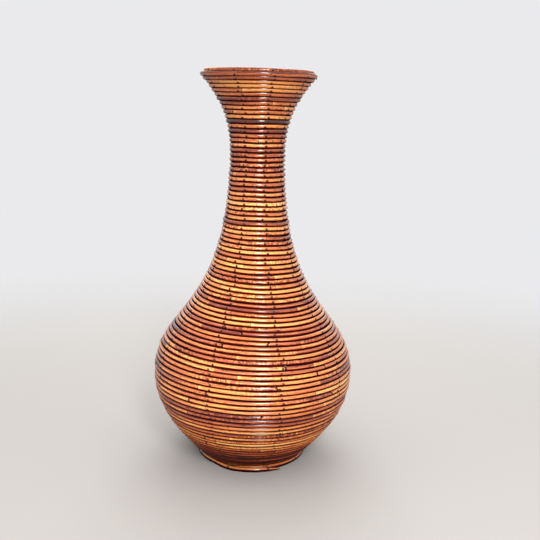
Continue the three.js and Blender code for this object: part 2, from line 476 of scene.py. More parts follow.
def bend_cane(course, cane):
    """Points, stations and stored vectors of one length of cane."""
    spots = stations(cane)
    to_brads = (brad_turns[course.number] - cane.start) % FULL_TURN
    brad_spots = np.add.outer(to_brads, (0, FULL_TURN)).ravel() * course.radius
    node, node_gap = nearest(spots, cane.nodes)
    brad_gap = nearest(spots, brad_spots)[1]
    end_gap = np.minimum(spots, cane.length - spots)
    size = cane_girth(course, cane, spots, node_gap, end_gap)[:, None]
    vectors = stain_vectors(course, cane, spots, node, (node_gap, end_gap, brad_gap))
    return bent_points(course, cane, spots, size), spots, vectors


first_vectors = bend_cane(courses[1], canes[1][0])[2]
print("each point of a cane stores", ", ".join(first_vectors))

# %% [markdown]
# ## Unrolling a cane
# Each cane is a closed tube with a flat face at each cut. The map for baked textures is laid out:
# a cane is unrolled into straight strips of one scale, and the cut faces become small discs.
# That wastes less of the picture than an automatic unwrap of so many thin tubes.

# %% Faces and map of a cane
STRIP_MARGIN = 0.001
STRIP_HEIGHT = FULL_TURN * CANE_RADIUS + STRIP_MARGIN
CAP_SPACE = 2 * CANE_RADIUS + STRIP_MARGIN


def tube_faces(first, count):
    """Quads round a tube, facing out, and the two faces that close it."""
    index = first + np.arange(count * SECTION_SIDES).reshape(count, SECTION_SIDES)
    here, after = index[:-1], index[1:]
    quads = np.stack([here, after, np.roll(after, -1, 1), np.roll(here, -1, 1)], axis=-1)
    return quads.reshape(-1, 4), index[0], index[-1][::-1]


def strip_map(spots, strip_length, first_row):
    """Map corners of a tube's quads, unrolled into strips, and the rows that it fills."""
    row = (((spots[:-1] + spots[1:]) / 2) // strip_length).astype(int)
    left, right = spots[:-1] - row * strip_length, spots[1:] - row * strip_length
    low = np.arange(SECTION_SIDES) / SECTION_SIDES * (STRIP_HEIGHT - STRIP_MARGIN)
    high = low + (STRIP_HEIGHT - STRIP_MARGIN) / SECTION_SIDES
    base = (first_row + row)[:, None] * STRIP_HEIGHT
    wide = np.ones(SECTION_SIDES)
    across = [left[:, None] * wide, right[:, None] * wide, right[:, None] * wide, left[:, None] * wide]
    upward = [base + low, base + low, base + high, base + high]
    corners = np.stack([np.stack(across, -1), np.stack(upward, -1)], axis=-1)
    return corners.reshape(-1, 2), row[-1] + 1


def cap_map(place, strip_length, first_row):
    """Map corners of one end face, a small disc in a row of discs."""
    per_row = max(1, int(strip_length / CAP_SPACE))
    middle = np.array([place % per_row + 0.5, 0.5]) * CAP_SPACE
    middle[1] += first_row * STRIP_HEIGHT + place // per_row * CAP_SPACE
    around = np.linspace(0, FULL_TURN, SECTION_SIDES, endpoint=False)
    return middle + CANE_RADIUS * np.column_stack([np.cos(around), np.sin(around)])


print(f"a strip of the map is {STRIP_HEIGHT * MILLIMETRES:.1f} mm high")

# %% [markdown]
# ## From canes to a band
# The canes of one solid become one mesh. Ninety objects would be as easy to make, but a piece that
# stands for one solid is easier to find and to swap.

# %% Join canes into one mesh
def cane_mesh(name, members):
    """One mesh of all the canes in the given courses."""
    lengths = [(course, cane) for course in members for cane in canes[course.number]]
    strip_length = math.sqrt(sum(cane.length for _, cane in lengths) * STRIP_HEIGHT)
    points, quads, caps, corners = [], [], [], []
    stored = {"cane_place": [], "cane_look": [], "cane_marks": []}
    count = rows = 0
    for course, cane in lengths:
        shape, spots, vectors = bend_cane(course, cane)
        faces, start_cap, end_cap = tube_faces(count, len(spots))
        mapped, used = strip_map(spots, strip_length, rows)
        points.append(shape.reshape(-1, 3))
        quads.append(faces)
        caps += [start_cap, end_cap]
        corners.append(mapped)
        for key, value in vectors.items():
            stored[key].append(value.reshape(-1, 3))
        count += len(spots) * SECTION_SIDES
        rows += used
    corners += [cap_map(place, strip_length, rows) for place in range(len(caps))]
    mesh = bpy.data.meshes.new(name)
    faces = np.concatenate(quads).tolist() + [cap.tolist() for cap in caps]
    mesh.from_pydata(np.concatenate(points).tolist(), [], faces)
    for key, value in stored.items():
        layer = mesh.attributes.new(key, "FLOAT_VECTOR", "POINT")
        layer.data.foreach_set("vector", np.concatenate(value).astype(np.float32).ravel())
    mapped = np.concatenate(corners)
    uv = mesh.uv_layers.new(name="OFBake")
    uv.data.foreach_set("uv", (mapped / mapped.max()).astype(np.float32).ravel())
    return mesh


hoop_meshes = {}
for node in ["foot_hoop_1", "foot_hoop_2", *band_names, "rim_hoop"]:
    hoop_meshes[node] = cane_mesh(node, [course for course in courses if course.node == node])
print(len(hoop_meshes), "meshes,", sum(len(mesh.polygons) for mesh in hoop_meshes.values()), "faces")

# %% [markdown]
# ## Standing in for a solid
# A finished mesh becomes an object that rides on the vase's one body and hides the solid that it
# stands for. Round sides are shaded smooth, and the edges of a cut stay sharp.

# %% Show the hoops
CUT_ANGLE = math.radians(50)  # sharper than this is a cut edge, not a round one


def show(name, mesh, *nodes):
    """A piece of the vase, standing for its solids and riding on the one body."""
    mesh.shade_smooth()
    mesh.set_sharp_from_angle(angle=CUT_ANGLE)
    piece = bpy.data.objects.new(name, mesh)
    bpy.context.scene.collection.objects.link(piece)
    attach(piece, "root")
    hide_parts(*nodes)
    return piece


hoops = {}
for node, mesh in hoop_meshes.items():
    hoops[node] = show(f"laid_{node}", mesh, node)
print(len(hoops), "pieces of cane")

# %% [markdown]
# ## Ribs
# Behind the brads stand ribs of split cane. They show through the mouth. The solid's own outline is
# right, so its mesh is copied, moved out from the flats of the many-sided solid to the round wall,
# and its sharp edges are rounded with a bevel.

# %% Round off the ribs
RIB_EDGE, RIB_EDGE_STEPS = 0.0008, 3
NEARLY_FLAT = 0.01  # faces that meet at less than this, in radians, become one
ring_turns = np.arctan2(*corners_of("rim_hoop").T[:2])
RING_SIDES = len(np.unique(ring_turns.round(3) % round(FULL_TURN, 3)))
FLAT_SHARE = math.cos(math.pi / RING_SIDES)


def rib_mesh(node, turn):
    """A rib's solid, set against the round wall, with rounded edges."""
    form = bmesh.new()
    form.from_mesh(frame["nodes"][node].data)
    bmesh.ops.remove_doubles(form, verts=form.verts, dist=SAME_CORNER)
    bmesh.ops.dissolve_limit(form, angle_limit=NEARLY_FLAT, verts=form.verts, edges=form.edges)
    out = Vector((math.sin(turn), -math.cos(turn), 0))
    for corner in form.verts:
        radius = corner.co.dot(out)
        corner.co += out * (radius / FLAT_SHARE - radius)
    sharp = [edge for edge in form.edges if edge.calc_face_angle(0) > CUT_ANGLE]
    bmesh.ops.bevel(
        form, geom=sharp, offset=RIB_EDGE, segments=RIB_EDGE_STEPS, profile=0.5, affect="EDGES",
    )
    mesh = bpy.data.meshes.new(node)
    form.to_mesh(mesh)
    form.free()
    return mesh


ribs = []
for node, turn in zip(rib_names, rib_turns):
    ribs.append(show(f"split_{node}", rib_mesh(node, turn), node))
print(len(ribs), "ribs;", f"rings have {RING_SIDES} sides")

# %% [markdown]
# ## Base board
# A round of plywood closes the bottom. A cylinder with a bevel would do, but turning an outline with
# rounded edges shows how any round piece can be made from its section.

# %% Turn the base board
BOARD_EDGE, BOARD_EDGE_STEPS = 0.0012, 4
TURNED_SIDES = 96
SAME_POINT = 1e-6


def turned_mesh(name, outline, sides):
    """A closed outline from axis to axis, turned about Z."""
    form = bmesh.new()
    line = [form.verts.new((radius, 0, height)) for radius, height in outline]
    edges = [form.edges.new(pair) for pair in zip(line, line[1:])]
    bmesh.ops.spin(
        form, geom=line + edges, cent=(0, 0, 0), axis=(0, 0, 1), angle=FULL_TURN,
        steps=sides, use_merge=True,
    )
    bmesh.ops.remove_doubles(form, verts=form.verts, dist=SAME_POINT)
    bmesh.ops.recalc_face_normals(form, faces=form.faces)
    mesh = bpy.data.meshes.new(name)
    form.to_mesh(mesh)
    form.free()
    return mesh


def rounded_corner(radius, height, start):
    """A quarter round of the board's edge, from an angle up a quarter turn."""
    for step in range(BOARD_EDGE_STEPS + 1):
        angle = start + step * math.pi / (2 * BOARD_EDGE_STEPS)
        yield radius + BOARD_EDGE * math.cos(angle), height + BOARD_EDGE * math.sin(angle)


low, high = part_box("base_board")
board_radius = np.hypot(*corners_of("base_board").T[:2]).max()
inner = board_radius - BOARD_EDGE
board_outline = [
    (0, low.z),
    *rounded_corner(inner, low.z + BOARD_EDGE, -math.pi / 2),
    *rounded_corner(inner, high.z - BOARD_EDGE, 0),
    (0, high.z),
]
board = show("round_base_board", turned_mesh("base_board", board_outline, TURNED_SIDES), "base_board")
print(f"board {2 * board_radius:.3f} m across")

# %% [markdown]
# ## A place on the cane
# A brad's head follows its course: it sits a little below the crown of the cane, turned square to the
# surface there. Casting a ray at the mesh would find that place too, but the course's own numbers give
# it exactly.

# %% Find a place on a course
def crown_point(course, turn, roll):
    """A point on the outside of a course, rolled up from its crown, and the way that it faces."""
    cane = next(
        cane for cane in canes[course.number]
        if (turn - cane.start) % FULL_TURN * course.radius <= cane.length + JOINT_GAP
    )
    angle = course.tilt + roll
    size = course.girth * cane.girth
    past_start = cane.start + (turn - cane.start) % FULL_TURN
    if past_start + FULL_TURN < cane.start + cane.length / course.radius:
        past_start += FULL_TURN
    radius, height = (float(value) for value in middle_line(course, np.float64(turn)))
    reach = radius + lap_swing(cane, np.float64(past_start)) + size * math.cos(angle)
    ahead = Vector((math.sin(turn), -math.cos(turn), 0))
    facing = ahead * math.cos(angle) + Vector((0, 0, math.sin(angle)))
    return ahead * reach + Vector((0, 0, height + size * math.sin(angle))), facing


lowest_brad = crown_point(foot, brad_turns[foot.number][0], 0.0)[0]
print(f"the lowest brad is {lowest_brad.z * MILLIMETRES:.1f} mm up")

# %% [markdown]
# ## Brads
# Each brad is a low domed head about 1.8 mm wide. Eight hundred objects would be slow to handle, so
# the heads along one rib make one piece.

# %% Hammer in the brads
BRAD_RADIUS = 0.0009
BRAD_SIZES = (0.85, 1.15)  # shares of that radius
BRAD_SIDES = 10
BRAD_DOME = ((1.0, -0.35), (1.0, 0.15), (0.82, 0.38), (0.42, 0.52))  # share of its radius, out and up
BRAD_TIP = 0.56
BRAD_ROLL = (-0.25, 0.2)  # how far from the crown the brads are, and how far they stray, in radians


def add_brad(form, spot, facing, size):
    """One domed head, closed underneath."""
    upright = facing.to_track_quat("Z", "Y").to_matrix()
    rings = []
    for out, up in BRAD_DOME:
        ring = []
        for side in range(BRAD_SIDES):
            angle = FULL_TURN * side / BRAD_SIDES
            local = Vector((out * math.cos(angle), out * math.sin(angle), up)) * size
            ring.append(form.verts.new(spot + upright @ local))
        rings.append(ring)
    tip = form.verts.new(spot + facing * BRAD_TIP * size)
    for side in range(BRAD_SIDES):
        after = (side + 1) % BRAD_SIDES
        for below, above in zip(rings, rings[1:]):
            form.faces.new((below[side], below[after], above[after], above[side]))
        form.faces.new((rings[-1][side], rings[-1][after], tip))
    form.faces.new(rings[0][::-1])


def brads_mesh(rib):
    """The heads of all the brads along one rib."""
    form = bmesh.new()
    for course in courses:
        spot, facing = crown_point(course, brad_turns[course.number][rib], dice.normal(*BRAD_ROLL))
        add_brad(form, spot, facing, BRAD_RADIUS * dice.uniform(*BRAD_SIZES))
    mesh = bpy.data.meshes.new(f"brads_{rib + 1}")
    form.to_mesh(mesh)
    form.free()
    return mesh


brads = [show(f"brads_over_{name}", brads_mesh(rib)) for rib, name in enumerate(rib_names)]
print(len(brads), "columns of", len(courses), "brads")

# %% [markdown]
# ## Building materials from parts
# Nodes could be wired by hand in the shader editor. Written as code, the same few steps come again and
# again: add a node and feed its inputs, join several terms, ease one value into another, blend two
# colours. A small helper for each keeps the materials short.

# %% Node helpers
def add(tree, kind, feeds, **settings):
    """A new node. Each feed is a number, a colour or another node's socket."""
    node = tree.nodes.new("ShaderNode" + kind)
    for key, value in settings.items():
        setattr(node, key, value)
    for socket, value in feeds.items():
        if isinstance(value, bpy.types.NodeSocket):
            tree.links.new(value, node.inputs[socket])
        else:
            node.inputs[socket].default_value = value
    return node


def sums(tree, operation, *terms):
    """Several terms joined by one operation."""
    total = terms[0]
    for term in terms[1:]:
        total = add(tree, "Math", {0: total, 1: term}, operation=operation).outputs[0]
    return total


def ease(tree, value, start, end, low=0.0, high=1.0):
    """A smooth change from low to high as the value goes from start to end."""
    feeds = {"Value": value, "From Min": start, "From Max": end, "To Min": low, "To Max": high}
    return add(tree, "MapRange", feeds, interpolation_type="SMOOTHSTEP").outputs[0]


def swing(tree, noise, width):
    """Noise turned into a swing about zero, of the given width."""
    return sums(tree, "MULTIPLY", sums(tree, "SUBTRACT", noise, 0.5), width)


def blend(tree, share, first, second):
    """One colour turning into another, by the colour sockets of a Mix node."""
    return add(tree, "Mix", {0: share, 6: first, 7: second}, data_type="RGBA").outputs[2]


print("helpers:", ", ".join(helper.__name__ for helper in (add, sums, ease, swing, blend)))

# %% [markdown]
# ## Grain
# Cane is a bundle of fibres. The grain group gives fine streaks, a slow drift of tone along the cane,
# a few dark flecks, and fibres for the bump. All stains and the raw wood share it, so it is a node
# group, built once. It works on the place stored at each point, so that the streaks bend with the hoop.

# %% Group: cane grain
STREAK_NOISE = (34, 3.2, 4.0)  # marks to a metre along the cane, to a radius across it, and detail
DRIFT_NOISE = (9, 0.5, 2.0)
FLECK_NOISE = (240, 2.6, 1.0)
FIBRE_NOISE = (60, 7.0, 2.0)
FLECK_EDGE = (0.60, 0.70)  # the noise turns into flecks between these


def start_group(name, inputs, outputs):
    """A node group with named sockets, and its way in and way out."""
    tree = bpy.data.node_groups.new(name, "ShaderNodeTree")
    for socket, kind in inputs.items():
        tree.interface.new_socket(socket, in_out="INPUT", socket_type="NodeSocket" + kind)
    for socket, kind in outputs.items():
        tree.interface.new_socket(socket, in_out="OUTPUT", socket_type="NodeSocket" + kind)
    return tree, tree.nodes.new("NodeGroupInput").outputs, tree.nodes.new("NodeGroupOutput").inputs


def streaky(tree, into, along, across, detail):
    """Noise drawn out along a cane, at the place and with the seed that come into the group."""
    feeds = {0: into["Place"], 1: (along, across, across)}
    scaled = add(tree, "VectorMath", feeds, operation="MULTIPLY").outputs[0]
    feeds = {"Vector": scaled, "W": into["Seed"], "Scale": 1.0, "Detail": detail}
    return add(tree, "TexNoise", feeds, noise_dimensions="4D").outputs[0]


grain, into, out = start_group(
    "Cane Grain", {"Place": "Vector", "Seed": "Float"},
    {"Streaks": "Float", "Drift": "Float", "Flecks": "Float", "Fibres": "Float"},
)
grain.links.new(streaky(grain, into, *STREAK_NOISE), out["Streaks"])
grain.links.new(streaky(grain, into, *DRIFT_NOISE), out["Drift"])
grain.links.new(ease(grain, streaky(grain, into, *FLECK_NOISE), *FLECK_EDGE), out["Flecks"])
grain.links.new(streaky(grain, into, *FIBRE_NOISE), out["Fibres"])
print("grain gives", [socket.name for socket in out if socket.name])

# %% [markdown]
# ## Mottling
# Where the skin of the cane was left on, the stain took in pale dashes, like tiger stripes, and dark
# between them. Spots of noise are cut off sharply, and a slower noise keeps them to patches. The mask
# is a shift of tone, up on a dash and down beside it, so that a dash has the colour of its own cane.

# %% Group: tiger mottling
DASH_NOISE = (420, 1.0, 1.0)
DASH_SHIFT = (0.45, 0.60, -0.12, 0.18)  # noise beside and on a dash, and the shift of tone there
PATCH_NOISE = (16, 0.2, 0.0)
PATCH_EDGE = (0.42, 0.56)

mottling, into, out = start_group(
    "Tiger Mottling", {"Place": "Vector", "Seed": "Float", "Amount": "Float"}, {"Shift": "Float"}
)
dashes = ease(mottling, streaky(mottling, into, *DASH_NOISE), *DASH_SHIFT)
patches = ease(mottling, streaky(mottling, into, *PATCH_NOISE), *PATCH_EDGE)
mottling.links.new(sums(mottling, "MULTIPLY", dashes, patches, into["Amount"]), out["Shift"])
print("mottling gives", out[0].name)

# %% [markdown]
# ## Nodes, cuts and brads
# A node is a thin dark line. Cut ends and brad holes are dark as well, because stain soaked in there.
# The distances to them are stored in millimetres, so the mask only has to fade with distance.

# %% Group: cane marks
NODE_FADE = (0.15, 0.65, 0.85, 0.0)  # distances from a node, and how dark it is there
CUT_FADE = (0.2, 1.1, 1.0, 0.0)
BRAD_FADE = (0.9, 1.9, 0.95, 0.0)

marks_group, into, out = start_group(
    "Cane Marks", {"Marks": "Vector", "Place": "Vector"}, {"Dark": "Float"}
)
mark = add(marks_group, "SeparateXYZ", {0: into["Marks"]}).outputs
spot = add(marks_group, "SeparateXYZ", {0: into["Place"]}).outputs
from_node = add(marks_group, "Math", {0: mark["X"]}, operation="ABSOLUTE").outputs[0]
node_line = ease(marks_group, from_node, *NODE_FADE)
cut_line = ease(marks_group, mark["Y"], *CUT_FADE)
beside = sums(marks_group, "SUBTRACT", spot["Z"], math.sin(BRAD_ROLL[0]))
beside = sums(marks_group, "MULTIPLY", beside, CANE_RADIUS * MILLIMETRES)
beside = sums(marks_group, "MULTIPLY", beside, beside)
along = sums(marks_group, "MULTIPLY", mark["Z"], mark["Z"])
from_brad = sums(marks_group, "POWER", sums(marks_group, "ADD", beside, along), 0.5)  # a square root
brad_stain = ease(marks_group, from_brad, *BRAD_FADE)
marks_group.links.new(sums(marks_group, "MAXIMUM", node_line, cut_line, brad_stain), out["Dark"])
print("marks give", out[0].name)

# %% [markdown]
# ## Grooves
# Between two courses the grooves are almost black: partly stain that pooled there, and partly painted
# shade between the courses. The point's place round the section says how deep in a groove it lies, and
# on the underside of a cane the painted shade starts sooner. Low on the belly the painted shade comes
# further out of the grooves. The second mask is where the lacquer lies thick: out of the grooves, and
# on the upper side, where it pools.

# %% Group: groove stain and painted shade
UNDERSIDE = 0.12  # how much sooner the painted groove shade starts on the underside of a cane
RAGGED_NOISE, RAGGED = (30, 0.6, 2.0), 0.25
GROOVE_EDGE = (0.34, 0.80)  # the groove's stain and painted shade darken between these, from the crown (0) to the top (1)
WET_BELOW = (-0.75, 0.2, 0.0, 1.0)  # places from the underside (-1) up, and how thick the lacquer is
WET_ABOVE = (0.65, 0.97, 1.0, 0.0)

groove_stain_and_shade, into, out = start_group(
    "Groove Stain and Shade", {"Place": "Vector", "Seed": "Float", "Extra Shade": "Float"},
    {"Mask": "Float", "Gloss": "Float"},
)
across = add(groove_stain_and_shade, "SeparateXYZ", {0: into["Place"]}).outputs
# painted shade: the underside of each cane darkens sooner than its top
shifted = sums(groove_stain_and_shade, "SUBTRACT", across["Z"], UNDERSIDE)
steep = add(groove_stain_and_shade, "Math", {0: shifted}, operation="ABSOLUTE").outputs[0]
ragged = swing(groove_stain_and_shade, streaky(groove_stain_and_shade, into, *RAGGED_NOISE), RAGGED)
# painted shade reaches further out where more is fed in, low on the belly
edge = sums(groove_stain_and_shade, "ADD", steep, ragged, into["Extra Shade"])
groove_stain_and_shade.links.new(ease(groove_stain_and_shade, edge, *GROOVE_EDGE), out["Mask"])
wet_below = ease(groove_stain_and_shade, across["Z"], *WET_BELOW)
wet_above = ease(groove_stain_and_shade, across["Z"], *WET_ABOVE)
groove_stain_and_shade.links.new(sums(groove_stain_and_shade, "MULTIPLY", wet_below, wet_above), out["Gloss"])
print("grime gives", out[0].name, "and", out[1].name)

# %% [markdown]
# ## Stain
# One colour ramp runs from burnt to straw, and a stain is only a place along it. The drift, the
# streaks and each cane's own tone move that place a little, so neighbouring canes differ the way they
# do on the vase while keeping to one family of browns.

# %% Group: rattan stain
def srgb(red, green, blue):
    """A colour as a screen shows it, 0 to 255, as the linear numbers that shaders use."""
    shares = [channel / 255 for channel in (red, green, blue)]
    linear = [s / 12.92 if s <= 0.04045 else ((s + 0.055) / 1.055) ** 2.4 for s in shares]
    return (*linear, 1.0)


STAINS = {
    0.00: srgb(36, 5, 3),
    0.20: srgb(90, 28, 12),
    0.40: srgb(150, 66, 31),
    0.58: srgb(199, 107, 53),
    0.76: srgb(230, 148, 74),
    1.00: srgb(250, 198, 112),
}
stain, into, out = start_group("Rattan Stain", {"Tone": "Float"}, {"Colour": "Color"})
ramp = add(stain, "ValToRGB", {0: into["Tone"]})
while len(ramp.color_ramp.elements) < len(STAINS):
    ramp.color_ramp.elements.new(0.5)
for element, (place, colour) in zip(ramp.color_ramp.elements, STAINS.items()):
    element.position = place
    element.color = colour
stain.links.new(ramp.outputs["Color"], out["Colour"])
print(len(STAINS), "stops of stain")

# %% [markdown]
# ## Stained colour
# Here the groups come together in one material. Grain, mottling and grooves move the tone, the stain
# turns the tone into a colour, and grooves and marks are burnt in last: the marks are stain, and the
# grooves are partly pooled stain and partly painted shade. Painting four separate stains would take
# four times the nodes; this way they differ by one number.

# %% Colour of a cane
# the dark of stain in the marks and grooves, and of painted shade in the grooves
BURNT_AND_SHADE = srgb(54, 7, 6)
STREAK, DRIFT = 0.80, 0.60  # how far the grain moves the tone
FLECK_TONE, GROOVE_TONE = -0.25, -0.35  # and how far a fleck does, and a groove with its pooled stain and painted shade
GROOVE_FALL = 2.0  # how steeply a groove turns dark with stain and painted shade


def start_material(name):
    """A new material, its nodes and the inputs of its shader."""
    material = bpy.data.materials.new(name)
    material.use_nodes = True
    return material, material.node_tree, material.node_tree.nodes["Principled BSDF"].inputs


def place_group(tree, group, feeds):
    """A group's outputs, with its inputs fed from other sockets."""
    node = tree.nodes.new("ShaderNodeGroup")
    node.node_tree = group
    for socket, value in feeds.items():
        tree.links.new(value, node.inputs[socket])
    return node.outputs


def stained_colour(tree, tone, own, fibre, tiger, groove, marked):
    """The colour of a cane from its tone and the outputs of the groups."""
    streaks = swing(tree, fibre["Streaks"], STREAK)
    drift = swing(tree, fibre["Drift"], DRIFT)
    flecks = sums(tree, "MULTIPLY", fibre["Flecks"], FLECK_TONE)
    # the grooves lower the tone, for stain pooled there and for painted shade
    pooled_and_shaded = sums(tree, "MULTIPLY", groove["Mask"], GROOVE_TONE)
    total = sums(tree, "ADD", own["X"], streaks, drift, flecks, tiger["Shift"], pooled_and_shaded, tone)
    colour = place_group(tree, stain, {"Tone": total})["Colour"]
    # then the grooves turn dark, partly pooled stain and partly painted shade
    colour = blend(tree, sums(tree, "POWER", groove["Mask"], GROOVE_FALL), colour, BURNT_AND_SHADE)
    return blend(tree, marked["Dark"], colour, BURNT_AND_SHADE)


print("burnt is", [round(channel, 3) for channel in BURNT_AND_SHADE])

# %% [markdown]
# ## Lacquered cane
# The lacquer is the shader's own coat, a clear glossy layer, over a base that is rougher where the
# grain is open. It is worn near the floor and where hands rub the neck and the rim, and whole on the
# hoop that the vase stands on. A glossy shader mixed in would do as well, but the coat takes what it
# reflects from the light that reaches the wood, as lacquer does.

# %% Materials: four stains of cane
STAIN_TONES = {"walnut": 0.50, "russet": 0.57, "amber": 0.60, "honey": 0.64}
CANE_ROUGHNESS = (0.3, 0.7, 0.34, 0.5)  # from one strength of streak to another, and the roughness
CANE_BUMP = {"Strength": 0.25, "Distance": 0.0002}
COAT_IOR = 1.95  # a thick, hard gloss
COAT_ROUGHNESS = 0.21
LOW_BELLY_SHADE = (0.05, 0.14, 0.12, 0.0)  # heights, and how much further painted shade comes out of the grooves low on the belly
DULL_FOOT = (0.03, 0.15, 0.25, 1.0)  # heights and shares of the coat that is left near the floor
BRIGHT_HOOP = (0.006, 0.008, 1.0, 0.0)  # and on the hoop that it stands on
DULL_RIM = (0.32, 0.475, 1.0, 0.55)  # and on the neck and the rim


def cane_material(name, tone):
    """Lacquered cane of one stain."""
    material, tree, shader = start_material(f"lacquered_{name}_cane")
    place, look, marks = (
        add(tree, "Attribute", {}, attribute_name=key).outputs["Vector"]
        for key in ("cane_place", "cane_look", "cane_marks")
    )
    own = add(tree, "SeparateXYZ", {0: look}).outputs
    at = {"Place": place, "Seed": own["Z"]}
    fibre = place_group(tree, grain, at)
    tiger = place_group(tree, mottling, {**at, "Amount": own["Y"]})
    marked = place_group(tree, marks_group, {"Marks": marks, "Place": place})
    height = add(tree, "SeparateXYZ", {0: add(tree, "TexCoord", {}).outputs["Object"]}).outputs["Z"]
    groove = place_group(tree, groove_stain_and_shade, {**at, "Extra Shade": ease(tree, height, *LOW_BELLY_SHADE)})

    colour = stained_colour(tree, tone, own, fibre, tiger, groove, marked)
    tree.links.new(colour, shader["Base Color"])
    tree.links.new(ease(tree, fibre["Streaks"], *CANE_ROUGHNESS), shader["Roughness"])
    bump = add(tree, "Bump", {"Height": fibre["Fibres"], **CANE_BUMP})
    tree.links.new(bump.outputs[0], shader["Normal"])
    worn = sums(tree, "MAXIMUM", ease(tree, height, *DULL_FOOT), ease(tree, height, *BRIGHT_HOOP))
    coat = sums(tree, "MULTIPLY", groove["Gloss"], worn, ease(tree, height, *DULL_RIM))
    tree.links.new(coat, shader["Coat Weight"])
    shader["Coat IOR"].default_value = COAT_IOR
    shader["Coat Roughness"].default_value = COAT_ROUGHNESS
    shader["Specular IOR Level"].default_value = 0.0  # only the coat shines
    return material


cane_looks = {name: cane_material(name, tone) for name, tone in STAIN_TONES.items()}
for node, piece in hoops.items():
    piece.data.materials.append(cane_looks[slot_of[node]])
print("stains:", ", ".join(cane_looks))

# %% [markdown]
# ## Raw wood
# The ribs are split cane that was never stained, and the board is plywood. Both use the same grain
# group, fed with their own place: a rib's grain runs up it, and the board's runs across.

# %% Materials: ribs and board
RIB_COLOURS = srgb(150, 108, 64), srgb(196, 156, 100)
BOARD_COLOURS = srgb(112, 74, 44), srgb(156, 112, 68)
ACROSS = 1 / CANE_RADIUS  # the grain counts in radii of a cane across
WOOD_FIGURE = (0.7, 1.3)  # the streaks and the drift together turn from one colour to the other
WOOD_ROUGHNESS = (0.3, 0.7, 0.6, 0.8)
WOOD_BUMP = {"Strength": 0.4, "Distance": 0.0003}


def raw_wood(name, colours, along):
    """Unfinished wood with its grain along one axis of the object."""
    material, tree, shader = start_material(name)
    place = add(tree, "TexCoord", {}).outputs["Object"]
    axes = add(tree, "SeparateXYZ", {0: place}).outputs
    others = [axis for axis in "XYZ" if axis != along]
    turned = add(tree, "CombineXYZ", {
        "X": axes[along],
        "Y": sums(tree, "MULTIPLY", axes[others[0]], ACROSS),
        "Z": sums(tree, "MULTIPLY", axes[others[1]], ACROSS),
    }).outputs[0]
    wood = place_group(tree, grain, {"Place": turned})
    figure = sums(tree, "ADD", wood["Streaks"], wood["Drift"])
    tree.links.new(blend(tree, ease(tree, figure, *WOOD_FIGURE), *colours), shader["Base Color"])
    tree.links.new(ease(tree, wood["Streaks"], *WOOD_ROUGHNESS), shader["Roughness"])
    bump = add(tree, "Bump", {"Height": wood["Fibres"], **WOOD_BUMP})
    tree.links.new(bump.outputs[0], shader["Normal"])
    return material


rib_look = raw_wood("split_cane", RIB_COLOURS, "Z")
board_look = raw_wood("plywood", BOARD_COLOURS, "X")
for piece in ribs:
    piece.data.materials.append(rib_look)
board.data.materials.append(board_look)
print("raw wood:", rib_look.name, board_look.name)

# %% [markdown]
# ## Iron
# The brads are dull iron, dark with stain, and a little rusty. Each head is so small that one noise is
# enough: it turns dark iron into rust and makes the rust rougher.

# %% Material: brads
IRON_COLOURS = srgb(20, 11, 9), srgb(48, 26, 18)
RUST_SCALE, RUST_DETAIL = 900.0, 3.0
RUST_EDGE = (0.4, 0.65)
IRON_ROUGHNESS = (0.5, 0.8)
IRON_SHINE = 0.15  # stain and dirt leave little of it

brad_look, tree, shader = start_material("stained_iron")
place = add(tree, "TexCoord", {}).outputs["Object"]
feeds = {"Vector": place, "Scale": RUST_SCALE, "Detail": RUST_DETAIL}
rust = add(tree, "TexNoise", feeds).outputs[0]
tree.links.new(blend(tree, ease(tree, rust, *RUST_EDGE), *IRON_COLOURS), shader["Base Color"])
tree.links.new(ease(tree, rust, *RUST_EDGE, *IRON_ROUGHNESS), shader["Roughness"])
shader["Specular IOR Level"].default_value = IRON_SHINE
for piece in brads:
    piece.data.materials.append(brad_look)
print("brads:", brad_look.name)

# %% [markdown]
# ## Floor
# A pale floor catches the shadow and fades into a pale surround, so nothing competes with the vase.
# The underside of the belly glows with warm light from below. So the floor is pale where it is seen,
# straight or in a reflection, and warm only in the light that it throws back. Light Path tells the two
# kinds of ray apart.

# %% Floor
FLOOR_RADIUS, FLOOR_SIDES = 3.0, 128
FLOOR_COLOUR = srgb(192, 188, 184)
FLOOR_BOUNCE = srgb(140, 68, 30)  # the floor as other surfaces see it
FLOOR_ROUGHNESS = 0.9
FADE = (0.35, 1.3, 1.0, 0.0)  # distances from the middle, and how much of the floor is left


def seeing_rays(tree):
    """One for rays that show a thing, straight or by reflection, and zero for those that light it."""
    rays = add(tree, "LightPath", {}).outputs
    kinds = (rays[f"Is {kind} Ray"] for kind in ("Camera", "Glossy", "Transmission"))
    return sums(tree, "MAXIMUM", *kinds)


floor_form = bmesh.new()
bmesh.ops.create_circle(floor_form, cap_ends=True, segments=FLOOR_SIDES, radius=FLOOR_RADIUS)
floor_mesh = bpy.data.meshes.new("floor")
floor_form.to_mesh(floor_mesh)
floor_form.free()
floor = bpy.data.objects.new("floor", floor_mesh)
bpy.context.scene.collection.objects.link(floor)
floor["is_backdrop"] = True

floor_look, tree, shader = start_material("pale_floor")
tree.links.new(blend(tree, seeing_rays(tree), FLOOR_BOUNCE, FLOOR_COLOUR), shader["Base Color"])
shader["Roughness"].default_value = FLOOR_ROUGHNESS
where = add(tree, "TexCoord", {}).outputs["Object"]
from_middle = add(tree, "VectorMath", {0: where}, operation="LENGTH").outputs["Value"]
tree.links.new(ease(tree, from_middle, *FADE), shader["Alpha"])
floor.data.materials.append(floor_look)
print("floor", 2 * FLOOR_RADIUS, "m across")

# %% [markdown]
# ## Surround
# The world is a backdrop and a soft light at once. Where it is seen it is one pale colour. As a light
# it is dim low down and bright overhead, because light from all sides alike would fill the grooves.

# %% World
SURROUND = srgb(234, 234, 236)
WHITE = srgb(255, 255, 255)
LOW_SKY = (-0.4, 0.2, 0.02, 0.10)  # directions, from straight down (-1) to up (1), and brightness
HIGH_SKY = (0.2, 1.0, 0.0, 1.15)  # and what is added overhead

